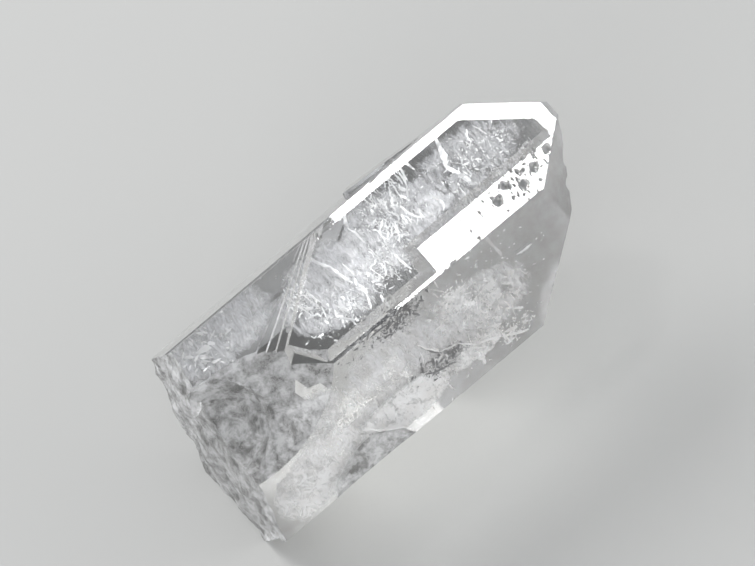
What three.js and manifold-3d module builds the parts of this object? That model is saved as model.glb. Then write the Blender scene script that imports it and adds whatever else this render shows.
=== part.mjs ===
// A clear quartz crystal, broken from its matrix. It is a six-sided prism with a rhombohedral tip, raised
// growth layers on its upper face, a second crystal grown onto its root in the same orientation, and
// conchoidal fractures where it was broken off. It grew as one piece, so it is one solid.
//
// Millimetres, +Z up. The crystal lies on its lower prism face. Its long axis, the c axis, runs along +X from
// the broken root to the tip, and +Y is to the left of somebody who looks from the root to the tip. It is
// worked out with the c axis on the X axis and the root near X = 0, and set down on its face at the end.
import * as THREE from "three";
import { ConvexGeometry } from "three/addons/geometries/ConvexGeometry.js";
import { ImprovedNoise } from "three/addons/math/ImprovedNoise.js";
import { mergeVertices } from "three/addons/utils/BufferGeometryUtils.js";
import Module from "manifold-3d";

const wasm = await Module();
wasm.setup();
const noise = new ImprovedNoise();

// Driving dimensions. The prism has a corner on +Y and on -Y.
const PRISM_SIDE = 18; // width of a prism face, and the distance from the c axis to a corner
const PRISM_FLAT = PRISM_SIDE * Math.cos(Math.PI / 6); // from the c axis to the middle of a face
const RHOMB_TILT = 51.8; // between the c axis and the normal of a rhombohedral face, as in all quartz
const LAYER_RISE = 1.5; // of the growth layer over the upper prism face
const TERRACES = 4; // steps from the second crystal down to the growth layer
const TERRACE_RISE = 0.3;

// A face's azimuth is its turn about the c axis. Straight up is 0.
const UP = 0;
const LEFT_UP = 60;
const LEFT_DOWN = 120;
const DOWN = 180;
const RIGHT_DOWN = -120;
const RIGHT_UP = -60;

// Where each tip face meets the prism face below it, along the c axis. The lowest is by far the largest.
const TIP_START = { leftUp: 60.6, rightUp: 61.4, down: 30.8, up: 68.9, leftDown: 47.6, rightDown: 49.4 };

const LAYER_TOP = PRISM_FLAT + LAYER_RISE;
const LAYER_FOOT = PRISM_FLAT - 1.2; // the layers are joined to the prism from this height over the c axis
const BLANK_END = -6; // every blank starts here, beyond the fracture

const radians = THREE.MathUtils.degToRad;
const vector = (x, y, z) => new THREE.Vector3(x, y, z);

// The half space below a plane, given by one of its points and its outward normal.
function halfSpace(point, normal) {
  return { point, normal: normal.normalize() };
}

function prismFace(azimuth, flat = PRISM_FLAT) {
  const normal = vector(0, Math.sin(radians(azimuth)), Math.cos(radians(azimuth)));
  return halfSpace(normal.clone().multiplyScalar(flat), normal);
}

// A rhombohedral face over the prism face of that azimuth and distance, which it meets at start.
function tipFace(azimuth, start, flat = PRISM_FLAT) {
  const outward = prismFace(azimuth).normal;
  const point = outward.clone().multiplyScalar(flat).setX(start);
  const normal = outward.multiplyScalar(Math.sin(radians(RHOMB_TILT)));
  return halfSpace(point, normal.setX(Math.cos(radians(RHOMB_TILT))));
}

function crossCut(x, towards) {
  return halfSpace(vector(x, 0, 0), vector(towards, 0, 0));
}

const LAYER_UNDERSIDE = halfSpace(vector(0, 0, LAYER_FOOT), vector(0, 0, -1));

// The point that three planes share, or null if they have none.
function sharedPoint(a, b, c) {
  const across = b.normal.clone().cross(c.normal);
  const volume = a.normal.dot(across);
  if (Math.abs(volume) < 1e-6) return null;
  return across
    .multiplyScalar(a.normal.dot(a.point))
    .addScaledVector(c.normal.clone().cross(a.normal), b.normal.dot(b.point))
    .addScaledVector(a.normal.clone().cross(b.normal), c.normal.dot(c.point))
    .divideScalar(volume);
}

// The convex body that half spaces have in common.
function facetedBody(faces) {
  const isInside = (point) => faces.every((f) => f.normal.dot(point) - f.normal.dot(f.point) < 1e-5);
  const corners = [];
  for (let i = 0; i < faces.length; i++) {
    for (let j = i + 1; j < faces.length; j++) {
      for (let k = j + 1; k < faces.length; k++) {
        const point = sharedPoint(faces[i], faces[j], faces[k]);
        if (point && isInside(point) && !corners.some((c) => c.distanceTo(point) < 1e-4)) {
          corners.push(point);
        }
      }
    }
  }
  return solidOf(new ConvexGeometry(corners));
}

// A closed geometry as a solid that can be joined and cut.
function solidOf(geometry) {
  const bare = new THREE.BufferGeometry();
  bare.setAttribute("position", geometry.getAttribute("position"));
  bare.setIndex(geometry.index);
  const merged = mergeVertices(bare, 1e-4);
  return new wasm.Manifold(
    new wasm.Mesh({
      numProp: 3,
      vertProperties: new Float32Array(merged.getAttribute("position").array),
      triVerts: new Uint32Array(merged.index.array),
    }),
  );
}

function geometryOf(solid) {
  const mesh = solid.getMesh();
  const geometry = new THREE.BufferGeometry();
  geometry.setAttribute("position", new THREE.BufferAttribute(new Float32Array(mesh.vertProperties), 3));
  geometry.setIndex(new THREE.BufferAttribute(new Uint32Array(mesh.triVerts), 1));
  return geometry;
}

// Uneven relief at a point, between about -1 and 1, in waves of the given length with finer ones on them.
function relief(point, wave) {
  const [x, y, z] = [point.x / wave, point.y / wave, point.z / wave];
  return noise.noise(x, y, z) + 0.4 * noise.noise(2.7 * x + 9, 2.7 * y, 2.7 * z);
}

function moveEachVertex(geometry, move) {
  const position = geometry.getAttribute("position");
  const point = vector(0, 0, 0);
  for (let i = 0; i < position.count; i++) {
    point.fromBufferAttribute(position, i);
    move(point);
    position.setXYZ(i, point.x, point.y, point.z);
  }
}

// The hollow that a conchoidal fracture leaves: part of a ball, a little uneven, with low rings round the
// point where the break began. The facet size sets how finely it is cut.
function shellBreak({ centre, radius, uneven = 0, wave = 5, ring = 0, facet = 1.4 }) {
  const detail = Math.max(2, Math.round((radius * 1.1) / facet));
  const geometry = new THREE.IcosahedronGeometry(radius, detail);
  const middle = vector(...centre);
  moveEachVertex(geometry, (point) => {
    const outward = point.clone().normalize();
    const rings = Math.sin((point.x + 0.5 * point.y) * 2.2);
    const swell = uneven * relief(point.clone().add(middle), wave) + ring * rings;
    point.addScaledVector(outward, swell).add(middle);
  });
  return solidOf(geometry);
}

// Everything beyond a rough plane, to cut away.
function roughBreak({ point, normal, uneven, wave, facet = 1.5 }) {
  const SPAN = 54;
  const DEPTH = 24;
  const cells = Math.round(SPAN / facet);
  const geometry = new THREE.BoxGeometry(SPAN, SPAN, DEPTH, cells, cells, 1);
  geometry.translate(0, 0, DEPTH / 2);
  const turn = new THREE.Quaternion().setFromUnitVectors(vector(0, 0, 1), vector(...normal).normalize());
  const place = new THREE.Matrix4().compose(vector(...point), turn, vector(1, 1, 1));
  moveEachVertex(geometry, (corner) => {
    const onFace = corner.z < DEPTH / 2;
    const placed = corner.clone().applyMatrix4(place);
    if (onFace) corner.z += uneven * relief(placed, wave);
  });
  geometry.applyMatrix4(place);
  return solidOf(geometry);
}

// The main crystal: six prism faces, three large rhombohedral faces, and small ones between them.
const prismFaces = [UP, LEFT_UP, LEFT_DOWN, DOWN, RIGHT_DOWN, RIGHT_UP].map((azimuth) => prismFace(azimuth));
const tipFaces = {
  leftUp: tipFace(LEFT_UP, TIP_START.leftUp),
  rightUp: tipFace(RIGHT_UP, TIP_START.rightUp),
  down: tipFace(DOWN, TIP_START.down),
  up: tipFace(UP, TIP_START.up),
  leftDown: tipFace(LEFT_DOWN, TIP_START.leftDown),
  rightDown: tipFace(RIGHT_DOWN, TIP_START.rightDown),
};

function mainCrystal() {
  return facetedBody([crossCut(BLANK_END, -1), ...prismFaces, ...Object.values(tipFaces)]);
}

// The growth layer on the upper face. Its long walls lie parallel to the crystal's own faces. It leaves a
// ledge of the upper face bare along the right edge and round the tip.
const LAYER_WALL = { left: 14.36, right: 10.94, rightNearRoot: 15.1 }; // from the c axis
const LAYER_JOG = 40.7; // where the right wall steps in, along the c axis
const LAYER_ROOT = 16; // where the layer starts, under the terraces of the second crystal
const LAYER_END = 66.2; // where it stops before the tip
const LAYER_SLOPE = { fall: 3.5, pivot: -5 }; // its top falls a little to the left, as a vicinal face does
const STEEP = 66.9; // between the upper face and a rhombohedral face beside it

const layerTop = halfSpace(
  vector(0, LAYER_SLOPE.pivot, LAYER_TOP),
  vector(0, Math.sin(radians(LAYER_SLOPE.fall)), Math.cos(radians(LAYER_SLOPE.fall))),
);

// A face as steep as that through a point of a layer's top. Its top edge is turned so far from the c axis.
function steepFace(x, y, turn, top = LAYER_TOP) {
  const normal = vector(Math.sin(radians(turn)), -Math.cos(radians(turn)), 0);
  normal.multiplyScalar(Math.sin(radians(STEEP))).setZ(Math.cos(radians(STEEP)));
  return halfSpace(vector(x, y, top), normal);
}

function tipLayer() {
  return facetedBody([
    crossCut(LAYER_JOG - 20, -1),
    LAYER_UNDERSIDE,
    layerTop,
    prismFace(LEFT_UP, LAYER_WALL.left),
    prismFace(RIGHT_UP, LAYER_WALL.right),
    tipFace(LEFT_UP, 58.5, LAYER_WALL.left),
    steepFace(LAYER_END, 0, 90),
  ]);
}

// The same layer nearer the root, where it reaches the right edge. Two small planes round off its end.
function rootLayer() {
  return facetedBody([
    LAYER_UNDERSIDE,
    layerTop,
    prismFace(LEFT_UP, LAYER_WALL.left),
    prismFace(RIGHT_UP, LAYER_WALL.rightNearRoot),
    tipFace(UP, LAYER_JOG, LAYER_TOP),
    crossCut(LAYER_ROOT, -1),
    steepFace(21.2, -4.2, -58),
    steepFace(23.9, -7.9, -24),
  ]);
}

// The second crystal, grown onto the root. Only its upper face and one of its rhombohedral faces stand clear,
// and that face comes down in terraces whose edges fan out a little from the left edge.
const FAN_START = { x: 33.3, y: 9, shift: 0.27 };
const FAN_TURN = { first: 31, each: 3.1 };

function secondCrystal() {
  const terraces = [];
  for (let i = 0; i < TERRACES; i++) {
    const top = LAYER_TOP + (TERRACES - i) * TERRACE_RISE;
    const turn = FAN_TURN.first + i * FAN_TURN.each;
    terraces.push(
      facetedBody([
        crossCut(BLANK_END, -1),
        LAYER_UNDERSIDE,
        prismFace(UP, top),
        prismFace(LEFT_UP, PRISM_FLAT - 0.25),
        prismFace(RIGHT_UP, PRISM_FLAT - 0.25),
        steepFace(FAN_START.x + i * FAN_START.shift, FAN_START.y, turn, top),
      ]),
    );
  }
  return terraces;
}

// A thin wedge of later growth on the left edge, which thins out towards the tip.
const EDGE_STEP = { start: 40.6, length: 15, rise: 0.75, taper: 3.4, above: 8, below: 3 };

function edgeStep() {
  const thinningFace = (azimuth) => {
    const { point, normal } = prismFace(azimuth, PRISM_FLAT + EDGE_STEP.rise);
    return halfSpace(point.setX(EDGE_STEP.start), normal.setX(Math.sin(radians(EDGE_STEP.taper))));
  };
  return facetedBody([
    halfSpace(vector(EDGE_STEP.start, PRISM_SIDE, 0), vector(-1, 0.25, 0)),
    crossCut(EDGE_STEP.start + EDGE_STEP.length, 1),
    thinningFace(LEFT_UP),
    thinningFace(LEFT_DOWN),
    halfSpace(vector(0, PRISM_SIDE / 2, 0), vector(0, -1, 0)),
    halfSpace(vector(0, 0, EDGE_STEP.above), vector(0, 0, 1)),
    halfSpace(vector(0, 0, -EDGE_STEP.below), vector(0, 0, -1)),
    tipFaces.down,
    tipFaces.leftDown,
  ]);
}

// A thin growth plate on a face. It lies so far along the face and across it from the face's own point, and
// has one side for each turn from the c axis, at that reach from its middle.
function growthPlate({ face, along, across, rise, sides }) {
  const up = face.normal;
  const forward = vector(1, 0, 0).addScaledVector(up, -up.x).normalize();
  const sideways = up.clone().cross(forward);
  const middle = face.point.clone().addScaledVector(forward, along).addScaledVector(sideways, across);
  const sidePlanes = sides.map(([turn, reach]) => {
    const out = forward.clone().multiplyScalar(Math.cos(radians(turn)));
    out.addScaledVector(sideways, Math.sin(radians(turn)));
    return halfSpace(middle.clone().addScaledVector(out, reach), out.addScaledVector(up, 0.5));
  });
  return facetedBody([
    halfSpace(middle.clone().addScaledVector(up, rise), up.clone()),
    halfSpace(middle.clone().addScaledVector(up, -1), up.clone().negate()),
    ...sidePlanes,
  ]);
}

const LATH = [[90, 1.7], [-90, 2.1], [48, 6.5], [-48, 7.2], [180, 9.5]];
const TRIANGLE = [[180, 3.2], [60, 3.4], [-60, 3.1], [0, 5.6]];
const GROWTH_PLATES = [
  { face: prismFace(LEFT_DOWN), along: 27, across: 1.5, rise: 0.45, sides: LATH },
  { face: prismFace(LEFT_DOWN), along: 38, across: -4.2, rise: 0.3, sides: LATH },
  { face: prismFace(RIGHT_DOWN), along: 31, across: -1.8, rise: 0.4, sides: LATH },
  { face: tipFaces.down, along: 19, across: 2.4, rise: 0.4, sides: TRIANGLE },
  { face: tipFaces.down, along: 29, across: -3.6, rise: 0.3, sides: TRIANGLE },
];

// The fractures at the root: the rough end, two cleaner ones above it, and three hollows.
const ROOT_BREAKS = [
  roughBreak({ point: [-1.3, 0, -15.6], normal: [-0.972, 0, 0.237], uneven: 0.9, wave: 6 }),
  roughBreak({ point: [7, 9, 17.4], normal: [-0.9, 0.12, 0.4], uneven: 0.3, wave: 9, facet: 2 }),
  roughBreak({ point: [6.6, 18, 0], normal: [-0.36, 0.86, 0.12], uneven: 0.3, wave: 5, facet: 2 }),
  shellBreak({ centre: [8, -23, 37], radius: 30, uneven: 0.35, wave: 9, facet: 2 }),
  shellBreak({ centre: [5.5, -5.5, 14.5], radius: 7.4, uneven: 0.7, wave: 2.2, ring: 0.08, facet: 1 }),
  shellBreak({ centre: [19, -39.4, 7.9], radius: 24, uneven: 0.25, wave: 5, facet: 1.8 }),
];

// A chip out of the edge between two faces, at a place along the c axis.
function edgeChip({ faces, x, radius, depth }) {
  const onEdge = sharedPoint(faces[0], faces[1], crossCut(x, 1));
  const outward = faces[0].normal.clone().add(faces[1].normal).normalize();
  const centre = onEdge.addScaledVector(outward, radius - depth);
  return shellBreak({ centre: centre.toArray(), radius, uneven: 0.2, wave: 1.6, facet: 0.7 });
}

const TIP_EDGE = [tipFaces.rightUp, tipFaces.down];
const EDGE_CHIPS = [
  { faces: TIP_EDGE, x: 69.2, radius: 2.4, depth: 0.35 },
  { faces: TIP_EDGE, x: 66.6, radius: 3, depth: 0.4 },
  { faces: TIP_EDGE, x: 64.6, radius: 1.6, depth: 0.45 },
];

// Etch pits in the ledge of the upper face that the growth layer leaves bare, by the tip.
const ETCH_PITS = [
  { x: 55.4, y: -6.2, radius: 1.5 },
  { x: 57.6, y: -4.9, radius: 1.1 },
  { x: 59.7, y: -6.6, radius: 1.3 },
  { x: 62.2, y: -5.6, radius: 1.2 },
  { x: 65.3, y: -4.7, radius: 1.3 },
];
const PIT_DEPTH = 0.3;

function etchPit({ x, y, radius }) {
  const centre = [x, y, PRISM_FLAT + radius - PIT_DEPTH];
  return shellBreak({ centre, radius, uneven: 0.25, wave: 0.9, facet: 0.5 });
}

function crystalSolid() {
  const plates = GROWTH_PLATES.map(growthPlate);
  const grown = [mainCrystal(), tipLayer(), rootLayer(), ...secondCrystal(), edgeStep(), ...plates];
  const broken = [...ROOT_BREAKS, ...EDGE_CHIPS.map(edgeChip), ...ETCH_PITS.map(etchPit)];
  return wasm.Manifold.union(grown).subtract(wasm.Manifold.union(broken));
}

// The geometry, set down on its lower prism face with the middle of its box over the origin.
function crystalGeometry() {
  const geometry = geometryOf(crystalSolid());
  geometry.computeBoundingBox();
  const { min, max } = geometry.boundingBox;
  geometry.translate(-(min.x + max.x) / 2, -(min.y + max.y) / 2, -min.z);
  geometry.computeVertexNormals();
  return geometry;
}

const clearQuartz = new THREE.MeshStandardMaterial({
  color: 0xe9eaec,
  roughness: 0.08,
  metalness: 0,
  transparent: true,
  opacity: 0.35,
  flatShading: true,
});

const crystal = new THREE.Mesh(crystalGeometry(), clearQuartz);
crystal.name = "quartz_crystal";

const part = new THREE.Group();
part.add(crystal);

export default part;
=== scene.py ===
"""A natural quartz point lying on a pale table: clear stone with fractures, cracks and milky veils inside it.

Laid out as a Blender add-on and run as a script. Metres, +Z up. The crystal lies on its lower prism face.
Its long axis, the c axis, runs along +X to the tip, and +Y is to the left of somebody who looks that way.
"""

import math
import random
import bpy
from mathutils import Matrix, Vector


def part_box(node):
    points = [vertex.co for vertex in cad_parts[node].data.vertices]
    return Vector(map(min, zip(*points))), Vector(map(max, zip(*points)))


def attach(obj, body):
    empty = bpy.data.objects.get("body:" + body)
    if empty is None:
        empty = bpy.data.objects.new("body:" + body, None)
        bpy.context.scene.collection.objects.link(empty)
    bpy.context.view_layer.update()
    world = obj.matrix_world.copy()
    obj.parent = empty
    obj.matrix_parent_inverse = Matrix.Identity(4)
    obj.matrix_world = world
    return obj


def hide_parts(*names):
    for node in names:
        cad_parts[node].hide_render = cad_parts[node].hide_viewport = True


bl_info = {
    "name": "Quartz Point",
    "version": (1, 0, 0),
    "blender": (4, 5, 0),
    "location": "3D View > Sidebar > Quartz",
    "description": "Dresses the packed quartz crystal with clear stone, fractures and inclusions",
    "category": "Add Mesh",
}

import bmesh
import bpy
from bpy.props import FloatProperty, IntProperty, PointerProperty, StringProperty
from bpy.types import Operator, Panel, PropertyGroup
from mathutils import Matrix, Vector, noise
from mathutils.bvhtree import BVHTree

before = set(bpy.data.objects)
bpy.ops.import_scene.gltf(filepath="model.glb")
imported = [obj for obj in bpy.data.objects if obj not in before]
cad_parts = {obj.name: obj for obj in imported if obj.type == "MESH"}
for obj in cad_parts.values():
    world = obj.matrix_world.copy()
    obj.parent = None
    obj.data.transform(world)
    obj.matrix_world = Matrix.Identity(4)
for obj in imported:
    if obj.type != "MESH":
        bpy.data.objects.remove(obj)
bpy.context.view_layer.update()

MM = 0.001
NODE = "quartz_crystal"
BODY = "root"
QUARTZ_IOR = 1.544

# The prism and its tip, as in the solid.
PRISM_SIDE = 18 * MM
PRISM_FLAT = PRISM_SIDE * math.cos(math.pi / 6)
LAYER_RISE = 1.5 * MM
TIP_REACH = 69.66 * MM
SOLID_LOW, SOLID_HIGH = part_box(NODE)
SOLID_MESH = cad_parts[NODE].data
STONE = BVHTree.FromPolygons([v.co for v in SOLID_MESH.vertices], [p.vertices for p in SOLID_MESH.polygons])
AXIS_START = Vector((SOLID_HIGH[0] - TIP_REACH, SOLID_LOW[1] + PRISM_SIDE, SOLID_LOW[2] + PRISM_FLAT))

# The picture plane: the camera leans so far from straight above, and the c axis climbs so far in the picture.
LEAN = math.radians(26)
CLIMB = math.radians(40)
ALONG = Vector((1, 0, 0))
ACROSS = Vector((0, math.cos(LEAN), math.sin(LEAN)))
TO_VIEWER = Vector((0, -math.sin(LEAN), math.cos(LEAN)))


def linear(hex_colour):
    """An sRGB hex colour as linear values."""
    channels = [int(hex_colour[i : i + 2], 16) / 255 for i in (1, 3, 5)]
    return [c / 12.92 if c <= 0.04045 else ((c + 0.055) / 1.055) ** 2.4 for c in channels] + [1.0]


def add_node(tree, kind, inputs=None, **settings):
    """Adds a shader node. Each input takes a value, or another node's output as its link."""
    node = tree.nodes.new("ShaderNode" + kind)
    for name, value in settings.items():
        setattr(node, name, value)
    for socket, value in (inputs or {}).items():
        if isinstance(value, bpy.types.NodeSocket):
            tree.links.new(value, node.inputs[socket])
        else:
            node.inputs[socket].default_value = value
    return node


def new_material(name):
    material = bpy.data.materials.new(name)
    material.use_nodes = True
    material.node_tree.nodes.clear()
    return material, material.node_tree


def select_only(thing):
    bpy.ops.object.select_all(action="DESELECT")
    bpy.context.view_layer.objects.active = thing
    thing.select_set(True)


def finish_piece(piece, *replaced):
    """Hides the solids that the piece stands for, if any, and hangs it on the body it rides on."""
    if replaced:
        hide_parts(*replaced)
    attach(piece, BODY)


class CrystalFace:
    """A face of the prism, by its turn about the c axis and its distance from it.

    A place on it is given in millimetres along the c axis and across the face.
    """

    STEP = 0.25
    MOST_STEPS = 24

    def __init__(self, azimuth, flat):
        turn = math.radians(azimuth)
        self.normal = Vector((0, math.sin(turn), math.cos(turn)))
        self.across = Vector((0, math.cos(turn), -math.sin(turn)))
        self.middle = AXIS_START + self.normal * flat
        # The way into the stone of a ray from the camera, bent by the face.
        bend = 1 / QUARTZ_IOR
        slant = TO_VIEWER.dot(self.normal)
        inner_slant = math.sqrt(1 - bend * bend * (1 - slant * slant))
        self.inwards = -TO_VIEWER * bend + self.normal * (bend * slant - inner_slant)

    def place(self, along, across, depth=0.0):
        """A point that the camera sees at that place of the face, so many millimetres behind it."""
        return self.middle + (ALONG * along + self.across * across + self.inwards * depth) * MM

    def place_inside(self, along, across, depth):
        """The same, but taken further in until it lies in the stone."""
        for step in range(self.MOST_STEPS):
            point = self.place(along, across, depth + self.STEP * step)
            if inside_stone(point):
                return point
        raise ValueError(f"no stone behind {along}, {across}")


WINDOW = CrystalFace(0, PRISM_FLAT + LAYER_RISE)  # the top of the growth layer
UPPER = CrystalFace(0, PRISM_FLAT)  # the ledge beside it
FLANK = CrystalFace(-60, PRISM_FLAT)  # the large face that slopes down towards the viewer


class StageSettings(PropertyGroup):
    floor_colour: StringProperty(name="Floor colour", description="sRGB hex of the table", default="#b0b0ae")
    glint: FloatProperty(name="Glint", description="Radiance of the lamp the ledge mirrors", default=30.0)
    key: FloatProperty(name="Key", description="Radiance of the large softbox", default=12.0)
    side: FloatProperty(name="Sides", description="Radiance of the low softboxes", default=4.5)
    surroundings: FloatProperty(name="Surroundings", description="Light from all round", default=0.98)
    lens: FloatProperty(name="Lens", description="Focal length in millimetres", default=180.0)


class CrystalSettings(PropertyGroup):
    seed: IntProperty(name="Seed", description="Of the nicks and the etch marks", default=4)
    nicks: IntProperty(name="Nicks", description="Small chips along the edges", default=70)
    etch_marks: IntProperty(name="Etch marks", description="Small pits on the ledge by the tip", default=130)
    grain: FloatProperty(
        name="Grain", description="Longest edge on a fracture", default=0.55 * MM, unit="LENGTH"
    )
    edge_round: FloatProperty(
        name="Edge", description="Width of the worn edges between faces", default=0.06 * MM, unit="LENGTH"
    )


class InclusionSettings(PropertyGroup):
    seed: IntProperty(name="Seed", description="Of the small threads and the flakes", default=11)
    threads: IntProperty(name="Threads", description="Fine healed cracks in window and flank", default=420)
    flakes: IntProperty(name="Flakes", description="Small open cracks that flash", default=3200)
    # The dark flakes are painted dark reflections: small cracks painted nearly black where they mirror
    # nothing.
    dark_flakes: IntProperty(name="Dark flakes", description="Small films that look dark", default=700)


class QUARTZ_OT_stage(Operator):
    """Add the floor, the lamps and the camera at the photograph's viewing angle"""

    bl_idname = "quartz.stage"
    bl_label = "Stage"

    FLOOR_SIZE = 4.0
    FLOOR_GAP = 0.02 * MM
    PICTURE_WIDTH = 755 / 7 * MM  # at the c axis, where seven pixels of the picture are a millimetre
    SENSOR = 36.0
    AIM = (35.3, 3.4)  # the picture's middle, in millimetres along the c axis and across it
    # Light crosses many clear faces and thin veils before it leaves the stone.
    BOUNCES = 24
    VEILS_CROSSED = 40
    # Each lamp's direction from the ledge, its distance and its size. The glint's direction is worked out.
    LEDGE_MIDDLE = (54, -2)
    GLINT_DISTANCE = 0.7
    GLINT_SIZE = (0.085, 0.05)
    KEY_LAMP = (Vector((-0.2, 1.3, 1.0)), 1.2, (0.6, 0.4))
    LEFT_LAMP = (Vector((-1.0, -0.5, 0.33)), 1.1, (0.5, 0.4))
    RIGHT_LAMP = (Vector((0.9, -0.55, 0.4)), 1.1, (0.5, 0.4))

    def execute(self, context):
        settings = context.scene.quartz_stage
        context.scene.view_settings.view_transform = "Standard"
        context.scene.cycles.transparent_max_bounces = self.VEILS_CROSSED
        context.scene.cycles.max_bounces = self.BOUNCES
        context.scene.cycles.transmission_bounces = self.BOUNCES
        self.add_floor(settings)
        camera = self.add_camera(context, settings)
        self.add_lamps(context, settings, camera)
        return {"FINISHED"}

    def add_floor(self, settings):
        bpy.ops.mesh.primitive_plane_add(size=self.FLOOR_SIZE, location=(0, 0, -self.FLOOR_GAP))
        floor = bpy.context.object
        floor.name = "floor"
        bpy.ops.object.transform_apply(location=True)
        # Matt paint mirrors nothing, so the stone's soft shadow and its light patches show plainly on it.
        material, tree = new_material("matt_painted_table")
        colour = linear(settings.floor_colour)
        paint = add_node(tree, "BsdfPrincipled", {"Base Color": colour, "Roughness": 0.7})
        add_node(tree, "OutputMaterial", {"Surface": paint.outputs[0]})
        floor.data.materials.append(material)

    def add_camera(self, context, settings):
        data = bpy.data.cameras.new("camera")
        data.lens = settings.lens
        data.sensor_width = self.SENSOR
        data.clip_start = 0.01
        camera = bpy.data.objects.new("camera", data)
        context.collection.objects.link(camera)
        right = ALONG * math.cos(CLIMB) - ACROSS * math.sin(CLIMB)
        up = ALONG * math.sin(CLIMB) + ACROSS * math.cos(CLIMB)
        distance = self.PICTURE_WIDTH * settings.lens / self.SENSOR
        aim = AXIS_START + (ALONG * self.AIM[0] + ACROSS * self.AIM[1]) * MM
        camera.matrix_world = Matrix((right, up, TO_VIEWER)).transposed().to_4x4()
        camera.location = aim + TO_VIEWER * distance
        context.scene.camera = camera
        return camera

    def add_lamps(self, context, settings, camera):
        world = bpy.data.worlds.new("studio")
        world.use_nodes = True
        background = world.node_tree.nodes["Background"]
        background.inputs["Color"].default_value = linear("#e4e6e9")
        background.inputs["Strength"].default_value = settings.surroundings
        context.scene.world = world
        # The ledge beside the growth layer lies level, so it mirrors the camera's view to the other side.
        ledge = UPPER.place(*self.LEDGE_MIDDLE)
        view = (camera.location - ledge).normalized()
        mirrored = Vector((-view.x, -view.y, view.z))
        self.add_lamp("glint_lamp", ledge, mirrored, self.GLINT_DISTANCE, self.GLINT_SIZE, settings.glint)
        self.add_lamp("key_softbox", ledge, *self.KEY_LAMP, settings.key)
        self.add_lamp("left_softbox", ledge, *self.LEFT_LAMP, settings.side)
        self.add_lamp("right_softbox", ledge, *self.RIGHT_LAMP, settings.side)

    def add_lamp(self, name, target, direction, distance, size, radiance):
        """An area lamp that faces the target. Its power follows from its size and radiance."""
        light = bpy.data.lights.new(name, "AREA")
        light.shape = "RECTANGLE"
        light.size, light.size_y = size
        light.energy = radiance * math.pi * size[0] * size[1]
        lamp = bpy.data.objects.new(name, light)
        lamp.location = target + direction.normalized() * distance
        lamp.rotation_euler = direction.to_track_quat("Z", "Y").to_euler()
        bpy.context.collection.objects.link(lamp)


# Materials

STONE_GREY = "#d6d6d4"  # all but colourless, so it shows only where the light goes far through the stone
STONE_DENSITY = 11.0
LET_THROUGH = "#eeefef"
CLOUD_SIZE = 2.2 * MM
CLOUD_EDGES = (0.38, 0.6)  # between these values of the clouds one tone turns to the other


def quartz_material(name, roughness, clarity, tones, relief):
    """Natural quartz: clear and glassy, so that the inside and the table show bent through it.

    clarity is the share of the light that goes in, and the rest is the white of a frosted surface. tones are
    the two colours that mottle it. relief is a function that adds the nodes of the surface's height and gives
    it with its strength and distance. Lamps are let through to the floor and the inclusions, as in the real
    stone.
    """
    material, tree = new_material(name)
    coordinates = add_node(tree, "TexCoord").outputs["Object"]
    height, strength, distance = relief(tree, coordinates)
    bump = add_node(tree, "Bump", {"Height": height, "Strength": strength, "Distance": distance})
    clouds = add_node(
        tree,
        "TexNoise",
        {"Vector": coordinates, "Scale": 1 / CLOUD_SIZE, "Detail": 6.0, "Roughness": 0.7, "Distortion": 0.2},
    )
    tone = add_node(tree, "ValToRGB", {"Fac": clouds.outputs[0]})
    for element, edge, colour in zip(tone.color_ramp.elements, CLOUD_EDGES, tones):
        element.position = edge
        element.color = linear(colour)
    stone = add_node(
        tree,
        "BsdfPrincipled",
        {
            "Base Color": tone.outputs[0],
            "Roughness": roughness,
            "IOR": QUARTZ_IOR,
            "Transmission Weight": clarity,
            "Normal": bump.outputs[0],
        },
    )
    let_through = add_node(tree, "BsdfTransparent", {"Color": linear(LET_THROUGH)})
    is_lamp = add_node(tree, "LightPath").outputs["Is Shadow Ray"]
    mix = add_node(tree, "MixShader", {0: is_lamp, 1: stone.outputs[0], 2: let_through.outputs[0]})
    grey = add_node(tree, "VolumeAbsorption", {"Color": linear(STONE_GREY), "Density": STONE_DENSITY})
    add_node(tree, "OutputMaterial", {"Surface": mix.outputs[0], "Volume": grey.outputs[0]})
    return material


def growth_relief(tree, coordinates):
    """Very low swells, about 4 mm long, which bend what a grown face mirrors."""
    swell = add_node(tree, "TexNoise", {"Vector": coordinates, "Scale": 1 / (4 * MM), "Detail": 2.0})
    return swell.outputs[0], 0.06, 0.1 * MM


def satin_relief(tree, coordinates):
    """The frosting of a face that was etched a little, drawn out across the c axis.

    Its grain is finer in the stone. It is drawn about 1.1 mm wide, as coarse as it needs to show.
    """
    stretched = add_node(tree, "Mapping", {"Vector": coordinates, "Scale": (2.4, 0.8, 0.8)})
    grain = add_node(
        tree,
        "TexNoise",
        {"Vector": stretched.outputs[0], "Scale": 1 / (1.1 * MM), "Detail": 4.0, "Roughness": 0.6},
    )
    return grain.outputs[0], 0.1, 0.12 * MM


def broken_relief(tree, coordinates):
    """The hackles of a fracture: sharp little crests, about 0.6 mm apart, with finer ones on them."""
    crests = add_node(
        tree,
        "TexNoise",
        {"Vector": coordinates, "Scale": 1 / (0.6 * MM), "Detail": 5.0, "Roughness": 0.65, "Distortion": 0.1},
    )
    return crests.outputs[0], 0.7, 0.22 * MM


def silver_material():
    """A thin film of air in an open crack, which mirrors light like silver and flashes white."""
    material, tree = new_material("air_film_in_crack")
    coordinates = add_node(tree, "TexCoord").outputs["Object"]
    patches = add_node(tree, "TexNoise", {"Vector": coordinates, "Scale": 1 / (0.7 * MM), "Detail": 3.0})
    gloss = add_node(tree, "MapRange", {"Value": patches.outputs[0], 1: 0.3, 2: 0.7, 3: 0.25, 4: 0.6})
    film = add_node(
        tree,
        "BsdfPrincipled",
        {"Base Color": linear("#ffffff"), "Metallic": 0.3, "Roughness": gloss.outputs[0]},
    )
    add_node(tree, "OutputMaterial", {"Surface": film.outputs[0]})
    return material


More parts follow.
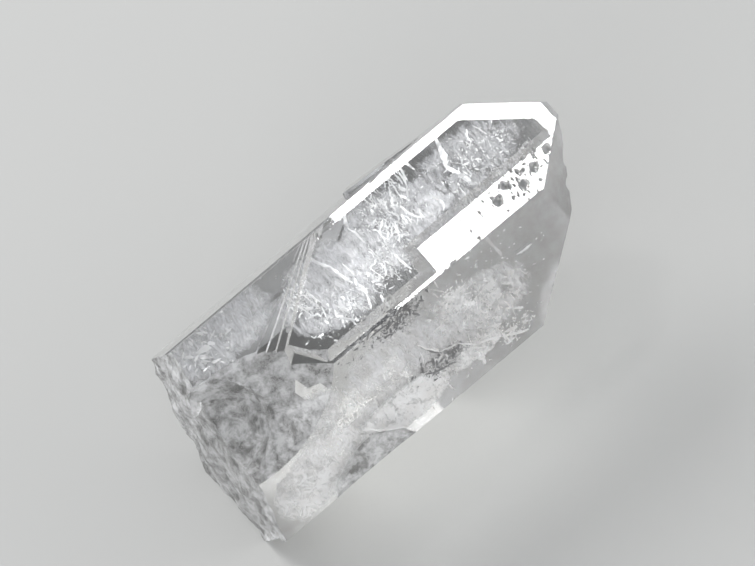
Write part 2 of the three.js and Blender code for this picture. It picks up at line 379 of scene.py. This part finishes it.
def painted_dark_reflection_material():
    """A crack with a painted dark reflection: where a crack mirrors nothing it looks dark, so it is painted
    as a nearly black fleck with a glossy skin.
    """
    material, tree = new_material("liquid_film_in_crack")
    coordinates = add_node(tree, "TexCoord").outputs["Object"]
    patches = add_node(tree, "TexNoise", {"Vector": coordinates, "Scale": 1 / (0.5 * MM), "Detail": 2.0})
    tone = add_node(tree, "ValToRGB", {"Fac": patches.outputs[0]})
    # Painted dark reflection: the fleck's colour runs from nearly black to dark grey, mottled.
    tone.color_ramp.elements[0].color = linear("#26272a")
    tone.color_ramp.elements[1].color = linear("#6d6d70")
    film = add_node(tree, "BsdfPrincipled", {"Base Color": tone.outputs[0], "Roughness": 0.25})
    add_node(tree, "OutputMaterial", {"Surface": film.outputs[0]})
    return material


def veil_material(name, colour, thread, cover):
    """A healed crack with tiny bubbles: cottony white where they crowd and clear between the threads.

    The bubbles are far finer in the stone, and are drawn as threads, as coarse as they need to show. thread
    is the threads' size, across and along the c axis. The sheet's own bubbles attribute thins it out towards
    its rim, and cover gives the densities where it starts to show and where it hides all.
    """
    material, tree = new_material(name)
    coordinates = add_node(tree, "TexCoord").outputs["Object"]
    stretched = add_node(
        tree, "Mapping", {"Vector": coordinates, "Scale": (1 / thread[1], 1 / thread[0], 1 / thread[0])}
    )
    threads = add_node(
        tree,
        "TexNoise",
        {"Vector": stretched.outputs[0], "Scale": 1.0, "Detail": 6.0, "Roughness": 0.68, "Distortion": 0.9},
    )
    density = add_node(tree, "Attribute", attribute_name="bubbles").outputs["Fac"]
    dense = add_node(tree, "Math", {0: threads.outputs[0], 1: density}, operation="MULTIPLY")
    alpha = add_node(tree, "MapRange", {"Value": dense.outputs[0], 1: cover[0], 2: cover[1], 3: 0.0, 4: 1.0})
    bubbles = add_node(
        tree,
        "BsdfPrincipled",
        {"Base Color": linear(colour), "Roughness": 0.45, "Alpha": alpha.outputs[0]},
    )
    add_node(tree, "OutputMaterial", {"Surface": bubbles.outputs[0]})
    return material


# The crystal


def select_parts(piece, kind, test):
    """In edit mode, selects only the verts, edges or faces that pass a test, and says how many they are.

    The test is given a part and the layer that marks the faces of the fractures.
    """
    bpy.ops.mesh.select_mode(type={"verts": "VERT", "edges": "EDGE", "faces": "FACE"}[kind])
    bpy.ops.mesh.select_all(action="DESELECT")
    mesh = bmesh.from_edit_mesh(piece.data)
    mark = mesh.faces.layers.int["broken"]
    chosen = [part for part in getattr(mesh, kind) if test(part, mark)]
    for part in chosen:
        part.select = True
    mesh.select_flush_mode()
    bmesh.update_edit_mesh(piece.data)
    return len(chosen)


class QUARTZ_OT_crystal(Operator):
    """Add the clear crystal, with worn edges and finely broken fractures, in place of the plain solid"""

    bl_idname = "quartz.crystal"
    bl_label = "Crystal"

    LARGEST_FACET = 6 * MM * MM  # a fracture's facets are smaller, also two that lie in one plane
    ROOT_REACH = 27 * MM  # the fractures lie this near to where the c axis starts
    RIDGE = math.radians(38)  # a sharper fold than this stays a crest of the fracture
    SHARP = math.radians(20)  # the least fold between two faces that is worn
    MOST_PASSES = 4  # each halves the edges on a fracture that are longer than the grain
    CHIPPED_LENGTH = 4 * MM  # shorter edges aren't nicked
    WORN_LENGTH = 1.2 * MM  # shorter edges aren't worn
    LEVEL = 0.9  # a face whose normal rises more than this lies level
    # The least and the most of a nick's radius in millimetres, of its depth in radii and of its stretch.
    NICK_RADIUS = (0.25, 0.75)
    NICK_DEPTH = (0.2, 0.45)
    NICK_STRETCH = ((0.8, 1.6), (0.8, 1.3))
    # The same of an etch mark, with its ball's rise above the ledge in radii, and where the marks crowd on
    # the ledge and how far they spread, in millimetres along the c axis and across it.
    ETCH_RADIUS = (0.1, 0.52)
    ETCH_STRETCH = ((0.3, 1.2), (0.5, 2.8))
    ETCH_RISE = 0.65
    ETCH_MIDDLE = (60.5, -5.2)
    ETCH_SPREAD = (4.2, 1.9)
    # Each finish of the stone: its roughness, its clarity, the tones that mottle it and its relief.
    FINISHES = (
        # A face as it grew, flat and glossy: it mirrors the lamps and shows the inside sharply.
        ("grown_quartz_face", 0.03, 0.97, ("#f4f5f7", "#ffffff"), growth_relief),
        # A finely etched face: a soft gloss, with a slight haze over the inside.
        ("satin_quartz_face", 0.12, 0.88, ("#eceae8", "#ffffff"), satin_relief),
        # A fracture: frosted and mottled, with small glints on its crests.
        ("broken_quartz", 0.12, 0.64, ("#8a8987", "#ffffff"), broken_relief),
    )
    GROWN, SATIN, BROKEN = range(3)

    def execute(self, context):
        settings = context.scene.quartz_crystal
        crystal = self.copy_solid(context)
        self.nick_edges(context, crystal, settings)
        self.mark_fractures(crystal)
        self.wear_edges(crystal, settings)
        self.break_finely(crystal, settings)
        self.shade(crystal)
        finish_piece(crystal, NODE)
        return {"FINISHED"}

    def copy_solid(self, context):
        """A copy of the solid whose flat faces are one face each."""
        crystal = bpy.data.objects.new("clear_crystal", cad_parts[NODE].data.copy())
        context.collection.objects.link(crystal)
        crystal.data.materials.clear()
        select_only(crystal)
        bpy.ops.object.mode_set(mode="EDIT")
        bpy.ops.mesh.select_all(action="SELECT")
        bpy.ops.mesh.remove_doubles(threshold=0.003 * MM)
        bpy.ops.mesh.dissolve_limited(angle_limit=math.radians(0.4))
        bpy.ops.object.mode_set(mode="OBJECT")
        return crystal

    def long_edges(self, crystal):
        """The long outer edges between grown faces: their two ends and the way out."""
        mesh = bmesh.new()
        mesh.from_mesh(crystal.data)
        found = []
        for edge in mesh.edges:
            whole = all(face.calc_area() > self.LARGEST_FACET for face in edge.link_faces)
            is_long = edge.calc_length() > self.CHIPPED_LENGTH
            if whole and is_long and edge.calc_face_angle_signed(0) > self.SHARP:
                outward = (edge.link_faces[0].normal + edge.link_faces[1].normal).normalized()
                found.append((edge.verts[0].co.copy(), edge.verts[1].co.copy(), outward))
        mesh.free()
        return found

    def nick_edges(self, context, crystal, settings):
        """Small chips out of the edges and etch marks in the ledge, cut by little uneven balls."""
        draw = random.Random(settings.seed)
        edges = self.long_edges(crystal)
        lengths = [(end - start).length for start, end, _ in edges]
        bpy.ops.mesh.primitive_ico_sphere_add(subdivisions=2, radius=1)
        ball = context.object
        placings = []
        for _ in range(settings.nicks):
            start, end, outward = draw.choices(edges, lengths)[0]
            radius = draw.uniform(*self.NICK_RADIUS) * MM
            depth = radius * draw.uniform(*self.NICK_DEPTH)
            centre = start.lerp(end, draw.random()) + outward * (radius - depth)
            placings.append(uneven_ball(draw, centre, radius, self.NICK_STRETCH))
        for _ in range(settings.etch_marks):
            radius = draw.uniform(*self.ETCH_RADIUS) * MM
            along, across = [draw.gauss(*reach) for reach in zip(self.ETCH_MIDDLE, self.ETCH_SPREAD)]
            centre = UPPER.place(along, across) + UPPER.normal * (radius * self.ETCH_RISE)
            placings.append(uneven_ball(draw, centre, radius, self.ETCH_STRETCH))
        cutter = joined_copies(context, "nicks", ball.data, placings)
        bpy.data.objects.remove(ball)
        select_only(crystal)
        cut = crystal.modifiers.new("nicks", "BOOLEAN")
        cut.operation = "DIFFERENCE"
        cut.solver = "EXACT"
        cut.use_self = True
        cut.object = cutter
        bpy.ops.object.modifier_apply(modifier=cut.name)
        bpy.data.objects.remove(cutter)

    def mark_fractures(self, crystal):
        """Marks the faces of the fractures, and as sharp every edge that isn't inside one."""
        mesh = bmesh.new()
        mesh.from_mesh(crystal.data)
        mark = mesh.faces.layers.int.new("broken")
        reach = AXIS_START.x + self.ROOT_REACH
        small = set()
        for face in mesh.faces:
            if face.calc_area() < self.LARGEST_FACET and face.calc_center_median().x < reach:
                small.add(face)
        for edge in mesh.edges:
            if all(face in small for face in edge.link_faces) and edge.calc_face_angle(math.pi) < self.RIDGE:
                for face in edge.link_faces:
                    face[mark] = 1
        for edge in mesh.edges:
            in_fracture = all(face[mark] for face in edge.link_faces)
            edge.smooth = in_fracture and edge.calc_face_angle(0) < self.RIDGE
        mesh.to_mesh(crystal.data)
        mesh.free()

    def wear_edges(self, crystal, settings):
        """Narrow worn strips along the edges between grown faces."""
        select_only(crystal)
        bpy.ops.object.mode_set(mode="EDIT")
        select_parts(
            crystal,
            "edges",
            lambda edge, mark: not any(face[mark] for face in edge.link_faces)
            and edge.calc_length() > self.WORN_LENGTH
            and edge.calc_face_angle(0) > self.SHARP,
        )
        bpy.ops.mesh.bevel(offset=settings.edge_round, segments=1, clamp_overlap=True)
        bpy.ops.object.mode_set(mode="OBJECT")

    def break_finely(self, crystal, settings):
        """Cuts the fractures finer, rounds their facets off, and gives them ripples and hackles."""
        bpy.ops.object.mode_set(mode="EDIT")
        for _ in range(self.MOST_PASSES):
            found = select_parts(
                crystal,
                "edges",
                lambda edge, mark: edge.calc_length() > settings.grain
                and any(face[mark] for face in edge.link_faces),
            )
            if not found:
                break
            bpy.ops.mesh.subdivide(number_cuts=1)
            select_parts(crystal, "faces", lambda face, mark: face[mark] and len(face.verts) > 3)
            bpy.ops.mesh.quads_convert_to_tris()
        select_parts(
            crystal,
            "verts",
            lambda vert, mark: all(face[mark] for face in vert.link_faces)
            and all(edge.smooth for edge in vert.link_edges),
        )
        bpy.ops.mesh.vertices_smooth(factor=0.5, repeat=6)
        mesh = bmesh.from_edit_mesh(crystal.data)
        mesh.normal_update()
        moves = [(vert, vert.normal * fracture_relief(vert.co)) for vert in mesh.verts if vert.select]
        for vert, move in moves:
            vert.co += move
        bmesh.update_edit_mesh(crystal.data)
        bpy.ops.object.mode_set(mode="OBJECT")

    def shade(self, crystal):
        data = crystal.data
        for finish in self.FINISHES:
            data.materials.append(quartz_material(*finish))
        broken = data.attributes["broken"].data
        for polygon in data.polygons:
            is_broken = bool(broken[polygon.index].value)
            polygon.use_smooth = is_broken
            if is_broken:
                polygon.material_index = self.BROKEN
            else:
                polygon.material_index = self.GROWN if polygon.normal.z > self.LEVEL else self.SATIN


BREAK_START = Vector((2.0, -4.0, 16.0))  # where the break began, in millimetres from the c axis's start


def fracture_relief(point):
    """The height of a fracture's fine relief: ripples 1.7 mm apart round where it began, and hackles."""
    place = (point - AXIS_START) / MM
    from_start = (place - BREAK_START).length
    ripple = 0.1 * math.sin(from_start * 3.6 + 2.5 * noise.noise(place / 3))
    hackle = 0.5 * noise.noise(place / 3.2) + 0.2 * noise.noise(place / 1.3) + 0.12 * noise.noise(place / 0.5)
    # It is full on the broken end and half as high from 14 mm on.
    strength = 0.5 + 0.5 * min(1, max(0, (14 - place.x) / 9))
    return strength * (ripple + hackle) * MM


def uneven_ball(draw, centre, radius, stretches):
    """A placing for a drawn-out ball with a lumpy surface."""
    stretch = Matrix.Diagonal((draw.uniform(*stretches[0]), draw.uniform(*stretches[1]), 1))
    seed = draw.uniform(0, 50)

    def place(point):
        swell = 1 + 0.25 * noise.noise(point * 1.7 + Vector((seed, 0, 0)))
        return centre + (stretch @ point) * (radius * swell)

    return place


def joined_copies(context, name, template, placings):
    """One object of many copies of a small closed shape. Each placing moves the points of one copy."""
    points = [vertex.co.copy() for vertex in template.vertices]
    faces = [tuple(polygon.vertices) for polygon in template.polygons]
    vertices = []
    polygons = []
    for place in placings:
        first = len(vertices)
        vertices += [place(point) for point in points]
        polygons += [[first + i for i in face] for face in faces]
    mesh = bpy.data.meshes.new(name)
    mesh.from_pydata(vertices, [], polygons)
    piece = bpy.data.objects.new(name, mesh)
    context.collection.objects.link(piece)
    return piece


# Inclusions

MARGIN = 0.6 * MM  # all inclusions lie at least so far inside the solid, clear of the fracture's relief
THREAD_WANDER = 0.05  # how far a thread strays from its bow, as a share of its length
THREAD_THICKNESS = 0.05 * MM
SMALL_THREAD_THICKNESS = 0.04 * MM
FLAKE_THICKNESS = 0.05 * MM
FLAKE_LENGTH = 1.7  # a flake's reach lengthwise and crosswise, in radii
FLAKE_WIDTH = 0.6
VEIL_THICKNESS = 0.03 * MM
VEIL_SWELL = 0.8  # in millimetres
VEIL_LEAN = 8  # in swells, so that a sheet's lean is about its slope


def splinter(start, end, width, thickness, flat, bow=0.0, seed=0.0):
    """A placing for a thin ribbon with pointed ends. flat is the normal of its broad side."""
    direction = end - start
    side = direction.cross(flat).normalized()
    flat = side.cross(direction).normalized()
    wander = direction.length * THREAD_WANDER

    def place(point):
        s = point.z
        middle = start.lerp(end, (s + 1) / 2) + side * (bow * (1 - s * s))
        wobble = noise.noise(Vector((s * 2.2, seed, 0)))
        middle += side * (wobble * wander) + flat * (noise.noise(Vector((s * 2, seed, 7))) * wander)
        spread = 1 + 0.6 * noise.noise(Vector((s * 3.1, seed, 3)))
        return middle + side * (point.x * width / 2 * spread) + flat * (point.y * thickness / 2)

    return place


def flake(centre, radius, thickness, turn, seed):
    """A placing for a small thin plate with an uneven outline."""

    def place(point):
        reach = radius * (1 + 0.9 * noise.noise(Vector((point.x * 1.6, point.y * 1.6, seed))))
        along = point.x * reach * FLAKE_LENGTH
        across = point.y * reach * FLAKE_WIDTH
        return centre + turn @ Vector((along, across, point.z * thickness / 2))

    return place


def inside_stone(point, margin=MARGIN):
    """Whether a point lies in the solid, at least so far from its surface."""
    location, normal, _, distance = STONE.find_nearest(point)
    return (point - location).dot(normal) < 0 and distance > margin


def random_turn(draw, normal, spread):
    """A turn that lays a plate roughly square to a direction."""
    axis = Vector((draw.gauss(0, 1), draw.gauss(0, 1), draw.gauss(0, 1))).normalized()
    tilted = Matrix.Rotation(draw.gauss(0, spread), 3, axis) @ normal
    return tilted.to_track_quat("Z", "Y").to_matrix() @ Matrix.Rotation(draw.uniform(0, math.tau), 3, "Z")


class QUARTZ_OT_threads(Operator):
    """Add the healed cracks that show as bowed threads, bright ones and ones painted dark as a dark
    reflection
    """

    bl_idname = "quartz.threads"
    bl_label = "Threads"

    LONGEST = 3.2  # of the small threads, in millimetres
    # Each is from a place on the window to another, in millimetres along the c axis and across it, with its
    # width, its bow to the side and its depth.
    STROKES = (
        (55.1, 8.1, 53.9, 5.0, 0.5, 0.1, 1.6),
        (54.2, 5.6, 53.0, 2.4, 0.85, -0.2, 1.9),
        (54.7, 6.0, 53.3, 3.0, 0.5, 0.3, 1.7),
        (53.1, 2.8, 54.0, 0.2, 0.6, 0.2, 2.1),
        (53.7, 0.7, 54.6, -2.7, 0.75, 0.1, 2.3),
        (53.9, 0.3, 54.3, -2.0, 0.4, -0.2, 2.5),
        (49.1, 8.2, 49.5, 5.3, 0.35, 0.1, 1.5),
        (48.0, 7.8, 47.7, 4.8, 0.45, -0.1, 1.8),
        (47.5, 7.0, 47.1, 4.2, 0.35, -0.2, 2.2),
        (48.9, 1.1, 49.4, -1.0, 0.3, 0.2, 1.5),
        (49.4, -0.8, 48.7, -2.6, 0.3, -0.3, 1.6),
        (38.1, 7.2, 37.0, 4.8, 0.6, 0.2, 1.7),
        (37.1, 5.0, 37.6, 1.5, 0.28, -0.1, 1.9),
        (37.5, 0.6, 37.9, -3.2, 0.26, 0.1, 2.0),
        (30.1, 5.8, 31.8, 2.0, 0.5, 0.2, 2.0),
        (31.7, 2.3, 32.7, -2.2, 0.42, 0.1, 2.2),
        (33.3, 1.4, 33.6, -1.6, 0.22, 0.0, 1.5),
        (35.1, -2.0, 35.6, -4.7, 0.5, 0.1, 1.8),
        (39.6, -2.8, 40.2, -6.4, 0.42, 0.1, 1.7),
        (58.7, 5.0, 58.0, 2.9, 0.3, 0.3, 1.4),
        (58.2, 3.1, 57.2, 2.2, 0.25, 0.1, 1.5),
        (44.6, 2.5, 46.3, -1.5, 0.45, 0.5, 2.0),
        (34.6, -6.2, 34.5, -8.1, 0.4, 0.1, 1.5),
        (29.8, -2.2, 29.7, -5.5, 0.45, 0.2, 1.9),
        (32.9, -2.6, 33.3, -4.9, 0.6, -0.1, 2.1),
        (31.0, -4.8, 31.6, -6.6, 0.4, 0.1, 1.7),
        (27.0, 1.6, 27.6, -1.4, 0.3, 0.1, 2.0),
        (24.6, 2.4, 25.4, -2.0, 0.25, 0.1, 2.2),
    )
    # The same on the flank: the long wavy crack, the bright wedge above it and the flashes nearer the tip.
    FLANK_STROKES = (
        (33.9, 2.5, 36.0, -1.1, 0.3, 0.2, 1.2),
        (36.0, -1.1, 38.4, -1.8, 0.35, 0.1, 1.2),
        (38.4, -1.8, 40.5, -4.1, 0.3, 0.1, 1.2),
        (40.5, -4.1, 43.9, -5.8, 0.4, -0.1, 1.2),
        (43.9, -5.8, 47.5, -8.0, 0.5, 0.1, 1.2),
        (52.7, 3.3, 55.3, 3.0, 0.4, 0.1, 1.5),
        (38.0, -3.4, 38.2, -5.2, 0.9, 0.1, 1.3),
        (40.3, 4.6, 41.6, 3.2, 0.8, 0.1, 1.5),
        (41.8, 4.9, 43.2, 3.6, 0.7, 0.1, 1.5),
        (42.6, 2.9, 44.0, 1.5, 0.8, 0.1, 1.8),
        (44.5, 7.1, 44.9, 6.7, 0.3, 0.0, 1.2),
        (49.3, 1.8, 49.7, 1.4, 0.3, 0.0, 1.2),
        (46.8, -2.6, 47.4, -3.1, 0.35, 0.0, 1.3),
        (20.6, -2.9, 25.8, -7.5, 0.35, 0.3, 1.0),
    )
    # Painted dark reflections: stretches along the crack and below the window, painted nearly black where the
    # crack mirrors nothing.
    PAINTED_DARK_STROKES = (
        (34.2, 1.9, 36.0, -1.6, 0.25, 0.2, 1.1),
        (36.0, -1.7, 38.2, -2.4, 0.3, 0.1, 1.1),
        (32.0, -2.3, 36.8, -4.1, 0.35, 0.3, 1.4),
        (52.4, 3.9, 55.0, 3.7, 0.15, 0.1, 1.3),
        (33.0, 8.2, 29.5, 8.4, 0.3, 0.1, 1.4),
        (36.5, 7.6, 31.5, 6.2, 0.25, 0.2, 1.6),
    )
    # Bands in which small threads crowd: a face, two places on it, their spread from the line between these,
    # and their share of all.
    BANDS = (
        (WINDOW, 48.0, 7.0, 40.8, 6.4, 1.0, 3),
        (WINDOW, 45.6, 5.5, 41.0, -1.6, 1.1, 5),
        (WINDOW, 41.5, 5.5, 37.5, 7.0, 0.8, 1),
        (WINDOW, 43.0, 0.5, 47.0, -1.8, 0.8, 2),
        (WINDOW, 40.5, 1.0, 35.0, -5.6, 1.6, 3),
        (WINDOW, 36.0, -6.0, 26.0, -3.0, 1.6, 4),
        (WINDOW, 26.5, -2.0, 24.6, 3.0, 1.2, 2),
        (WINDOW, 60.0, 3.0, 52.0, -1.5, 1.6, 2),
        (FLANK, 14.0, 1.0, 33.0, -5.0, 2.4, 10),
        (FLANK, 20.0, 4.0, 12.0, 5.0, 2.0, 4),
        (FLANK, 36.0, -1.0, 48.0, -8.0, 0.8, 4),
        (FLANK, 38.0, 4.0, 50.0, -1.0, 1.6, 3),
    )

    def execute(self, context):
        settings = context.scene.quartz_inclusions
        draw = random.Random(settings.seed)
        placings = [self.stroke(draw, WINDOW, *stroke) for stroke in self.STROKES]
        placings += [self.stroke(draw, FLANK, *stroke) for stroke in self.FLANK_STROKES]
        dark_placings = [self.stroke(draw, FLANK, *stroke) for stroke in self.PAINTED_DARK_STROKES]
        shares = [band[-1] for band in self.BANDS]
        while len(placings) < settings.threads:
            thread = self.small_thread(draw, draw.choices(self.BANDS, shares)[0])
            if thread:
                placings.append(thread)
        # A slim closed body with four sides and pointed ends is the start of every thread.
        bpy.ops.mesh.primitive_uv_sphere_add(segments=4, ring_count=12, radius=1)
        spindle = context.object
        self.add_threads(context, "healed_crack_threads", spindle.data, placings, silver_material())
        # These threads carry a painted dark reflection, not a colour that the crack has.
        self.add_threads(context, "dark_crack_threads", spindle.data, dark_placings, painted_dark_reflection_material())
        bpy.data.objects.remove(spindle)
        return {"FINISHED"}

    def add_threads(self, context, name, spindle, placings, material):
        threads = joined_copies(context, name, spindle, placings)
        threads.data.materials.append(material)
        finish_piece(threads)

    def stroke(self, draw, face, x0, y0, x1, y1, width, bow, depth):
        start = face.place_inside(x0, y0, depth)
        end = face.place_inside(x1, y1, depth + draw.uniform(-0.3, 0.8))
        flat = Vector((draw.gauss(0, 0.2), draw.gauss(0, 0.2), 1)).normalized()
        return splinter(start, end, width * MM, THREAD_THICKNESS, flat, bow * MM, draw.uniform(0, 99))

    def small_thread(self, draw, band):
        """A thread somewhere in a band, or None where it would come out of the stone."""
        face, x0, y0, x1, y1, spread, _ = band
        at = draw.random()
        x = x0 + (x1 - x0) * at + draw.gauss(0, spread)
        y = y0 + (y1 - y0) * at + draw.gauss(0, spread)
        # Most are about a millimetre long, and a few reach the longest.
        half = min(self.LONGEST, 0.5 + draw.expovariate(1.2)) / 2
        lean = draw.gauss(0, 0.35)
        depth = draw.uniform(1.2, 4.5)
        start = face.place(x - math.sin(lean) * half, y + math.cos(lean) * half, depth)
        end = face.place(x + math.sin(lean) * half, y - math.cos(lean) * half, depth + draw.gauss(0, 0.4))
        flat = Vector((draw.gauss(0, 0.35), draw.gauss(0, 0.35), 1)).normalized()
        width = draw.uniform(0.1, 0.34) * MM
        bow = draw.gauss(0, 0.12) * MM
        if not (inside_stone(start) and inside_stone(end)):
            return None
        return splinter(start, end, width, SMALL_THREAD_THICKNESS, flat, bow, draw.uniform(0, 99))


class QUARTZ_OT_flakes(Operator):
    """Add the clusters of small open cracks that flash, and those with a painted dark reflection"""

    bl_idname = "quartz.flakes"
    bl_label = "Flakes"

    # Each is a face, a place on it, the spread along and across, the depth, the flakes' size and a share.
    BRIGHT = (
        (WINDOW, 44.0, 5.0, 2.6, 1.6, 2.5, 0.08, 6),
        (WINDOW, 41.0, 0.5, 1.2, 2.4, 2.5, 0.08, 6),
        (WINDOW, 37.0, -3.5, 2.0, 1.6, 2.5, 0.09, 5),
        (WINDOW, 30.0, -4.0, 3.2, 1.4, 2.5, 0.1, 7),
        (WINDOW, 25.5, 0.0, 0.9, 2.6, 2.5, 0.1, 4),
        (WINDOW, 55.0, 0.5, 3.0, 2.0, 2.5, 0.08, 4),
        (WINDOW, 61.5, 1.0, 2.0, 2.4, 2.0, 0.075, 4),
        (FLANK, 41.5, 4.0, 1.7, 1.0, 1.4, 0.19, 7),
        (FLANK, 44.5, 0.5, 2.4, 1.6, 1.8, 0.17, 5),
        (FLANK, 40.0, -4.0, 3.5, 1.2, 2.5, 0.14, 6),
        (FLANK, 47.0, -6.5, 2.4, 1.0, 2.5, 0.14, 3),
        (FLANK, 50.0, 2.0, 4.0, 4.0, 3.0, 0.08, 2),
        (FLANK, 35.3, 8.0, 1.8, 1.0, 2.0, 0.08, 3),
        (FLANK, 26.0, -1.0, 3.5, 1.8, 3.0, 0.15, 8),
        (FLANK, 17.0, 4.0, 3.0, 2.0, 3.0, 0.15, 6),
        (WINDOW, 11.0, 5.5, 3.0, 1.8, 3.5, 0.15, 5),
    )
    # Clusters of small cracks painted nearly black: a painted dark reflection where they mirror nothing.
    DARK = (
        (FLANK, 35.3, 8.2, 1.5, 0.9, 1.6, 0.13, 10),
        (FLANK, 32.6, 7.4, 1.4, 0.8, 1.8, 0.11, 5),
        (FLANK, 27.0, 8.6, 3.0, 1.0, 2.2, 0.08, 3),
        (FLANK, 33.5, -2.8, 2.0, 1.2, 2.2, 0.15, 5),
        (FLANK, 37.0, -2.6, 1.2, 0.6, 2.0, 0.15, 3),
    )

    def execute(self, context):
        settings = context.scene.quartz_inclusions
        draw = random.Random(settings.seed + 1)
        bpy.ops.mesh.primitive_ico_sphere_add(subdivisions=1, radius=1)
        ball = context.object
        silver = silver_material()
        dark = painted_dark_reflection_material()
        self.scatter(context, draw, "open_crack_flakes", ball.data, self.BRIGHT, settings.flakes, silver)
        self.scatter(context, draw, "liquid_film_flakes", ball.data, self.DARK, settings.dark_flakes, dark)
        bpy.data.objects.remove(ball)
        return {"FINISHED"}

    def scatter(self, context, draw, name, template, clusters, count, material):
        placings = []
        shares = [cluster[-1] for cluster in clusters]
        while len(placings) < count:
            face, x, y, spread_x, spread_y, depth, size, _ = draw.choices(clusters, shares)[0]
            place = (x + draw.gauss(0, spread_x), y + draw.gauss(0, spread_y), depth * draw.uniform(0.4, 1.8))
            centre = face.place(*place)
            radius = size * draw.lognormvariate(0, 0.55) * MM
            turn = random_turn(draw, Vector((0, 0, 1)), 0.5)
            if inside_stone(centre, radius * FLAKE_LENGTH + MARGIN):
                placings.append(flake(centre, radius, FLAKE_THICKNESS, turn, draw.uniform(0, 99)))
        piece = joined_copies(context, name, template, placings)
        piece.data.materials.append(material)
        finish_piece(piece)


class QUARTZ_OT_veils(Operator):
    """Add the sheets of tiny bubbles: faint ones in the whole stone and dense milky ones towards the root"""

    bl_idname = "quartz.veils"
    bl_label = "Veils"

    # Each is a face, the middle's place on it and depth, the reach along and across, the lean and density.
    FAINT = (
        (WINDOW, 55.0, 1.0, 4.5, 12.0, 6.5, 0.05, 1.0),
        (WINDOW, 42.0, 0.5, 4.5, 11.0, 8.0, -0.06, 1.1),
        (WINDOW, 30.0, -0.5, 4.5, 10.0, 8.0, 0.05, 1.2),
        (WINDOW, 13.0, 5.5, 4.0, 12.0, 6.5, 0.06, 1.15),
        (FLANK, 44.0, 0.5, 4.5, 11.0, 6.5, 0.06, 1.0),
        (FLANK, 30.0, 3.0, 4.5, 10.0, 6.0, -0.10, 1.05),
    )
    MILKY = (
        (FLANK, 27.0, -4.5, 1.6, 10.0, 4.0, 0.05, 1.35),
        (FLANK, 25.0, -3.5, 2.6, 10.0, 4.5, -0.08, 1.35),
        (FLANK, 25.0, -3.5, 4.6, 9.0, 4.5, 0.10, 1.2),
        (FLANK, 17.0, 4.5, 2.0, 5.5, 3.5, 0.10, 1.2),
        (FLANK, 16.0, 3.5, 4.0, 6.0, 4.0, -0.10, 1.2),
        (FLANK, 40.0, -5.0, 2.5, 6.0, 2.0, 0.05, 1.1),
        (FLANK, 14.0, -3.0, 1.8, 9.0, 5.5, 0.06, 1.2),
        (FLANK, 9.5, -4.5, 2.4, 7.0, 5.5, -0.06, 1.3),
    )

    def execute(self, context):
        faint = veil_material("faint_bubble_veil", "#fdfdff", (2.0 * MM, 0.9 * MM), (0.35, 0.78))
        milky = veil_material("milky_bubble_veil", "#ffffff", (1.6 * MM, 1.2 * MM), (0.4, 0.68))
        self.add_sheets(context, "faint_veils", self.FAINT, faint)
        self.add_sheets(context, "milky_veils", self.MILKY, milky)
        return {"FINISHED"}

    def add_sheets(self, context, name, sheets, material):
        pieces = [self.add_sheet(context, number, *sheet) for number, sheet in enumerate(sheets)]
        bpy.ops.object.select_all(action="DESELECT")
        for piece in pieces:
            piece.select_set(True)
        context.view_layer.objects.active = pieces[0]
        bpy.ops.object.join()
        veils = context.object
        veils.name = name
        veils.data.materials.append(material)
        finish_piece(veils)

    def add_sheet(self, context, number, face, x, y, depth, reach_x, reach_y, lean, density):
        bpy.ops.mesh.primitive_grid_add(x_subdivisions=40, y_subdivisions=24, size=2)
        sheet = context.object
        thins_out = sheet.data.attributes.new("bubbles", "FLOAT", "POINT")
        middle = face.place(x, y, depth)
        for vertex in sheet.data.vertices:
            a, b = vertex.co.x, vertex.co.y
            swell = noise.noise(Vector((a * 1.6, b * 1.6, number * 5.0))) + lean * VEIL_LEAN * b
            in_plane = ALONG * (a * reach_x) + face.across * (b * reach_y)
            vertex.co = middle + (in_plane + face.normal * (swell * VEIL_SWELL)) * MM
            # Its bubbles crowd in the middle and thin out to the rim.
            rim = max(0.0, 1 - (a * a + b * b))
            thins_out.data[vertex.index].value = density * min(1.0, 0.15 + rim * 1.5)
        mesh = bmesh.new()
        mesh.from_mesh(sheet.data)
        outside = [vertex for vertex in mesh.verts if not inside_stone(vertex.co)]
        bmesh.ops.delete(mesh, geom=outside, context="VERTS")
        mesh.to_mesh(sheet.data)
        mesh.free()
        select_only(sheet)
        solidify = sheet.modifiers.new("thickness", "SOLIDIFY")
        solidify.thickness = VEIL_THICKNESS
        bpy.ops.object.modifier_apply(modifier=solidify.name)
        return sheet


class QUARTZ_PT_panel(Panel):
    """Lists the crystal's pieces in the sidebar"""

    bl_idname = "QUARTZ_PT_panel"
    bl_label = "Quartz point"
    bl_space_type = "VIEW_3D"
    bl_region_type = "UI"
    bl_category = "Quartz"

    def draw(self, context):
        for operator in OPERATORS:
            self.layout.operator(operator.bl_idname)


OPERATORS = (QUARTZ_OT_stage, QUARTZ_OT_crystal, QUARTZ_OT_threads, QUARTZ_OT_flakes, QUARTZ_OT_veils)
CLASSES = (StageSettings, CrystalSettings, InclusionSettings, *OPERATORS, QUARTZ_PT_panel)


def register():
    for cls in CLASSES:
        bpy.utils.register_class(cls)
    bpy.types.Scene.quartz_stage = PointerProperty(type=StageSettings)
    bpy.types.Scene.quartz_crystal = PointerProperty(type=CrystalSettings)
    bpy.types.Scene.quartz_inclusions = PointerProperty(type=InclusionSettings)


def unregister():
    del bpy.types.Scene.quartz_inclusions
    del bpy.types.Scene.quartz_crystal
    del bpy.types.Scene.quartz_stage
    for cls in reversed(CLASSES):
        bpy.utils.unregister_class(cls)


def main():
    register()
    bpy.ops.quartz.stage()
    bpy.ops.quartz.crystal()
    bpy.ops.quartz.threads()
    bpy.ops.quartz.flakes()
    bpy.ops.quartz.veils()


if __name__ == "__main__":
    main()
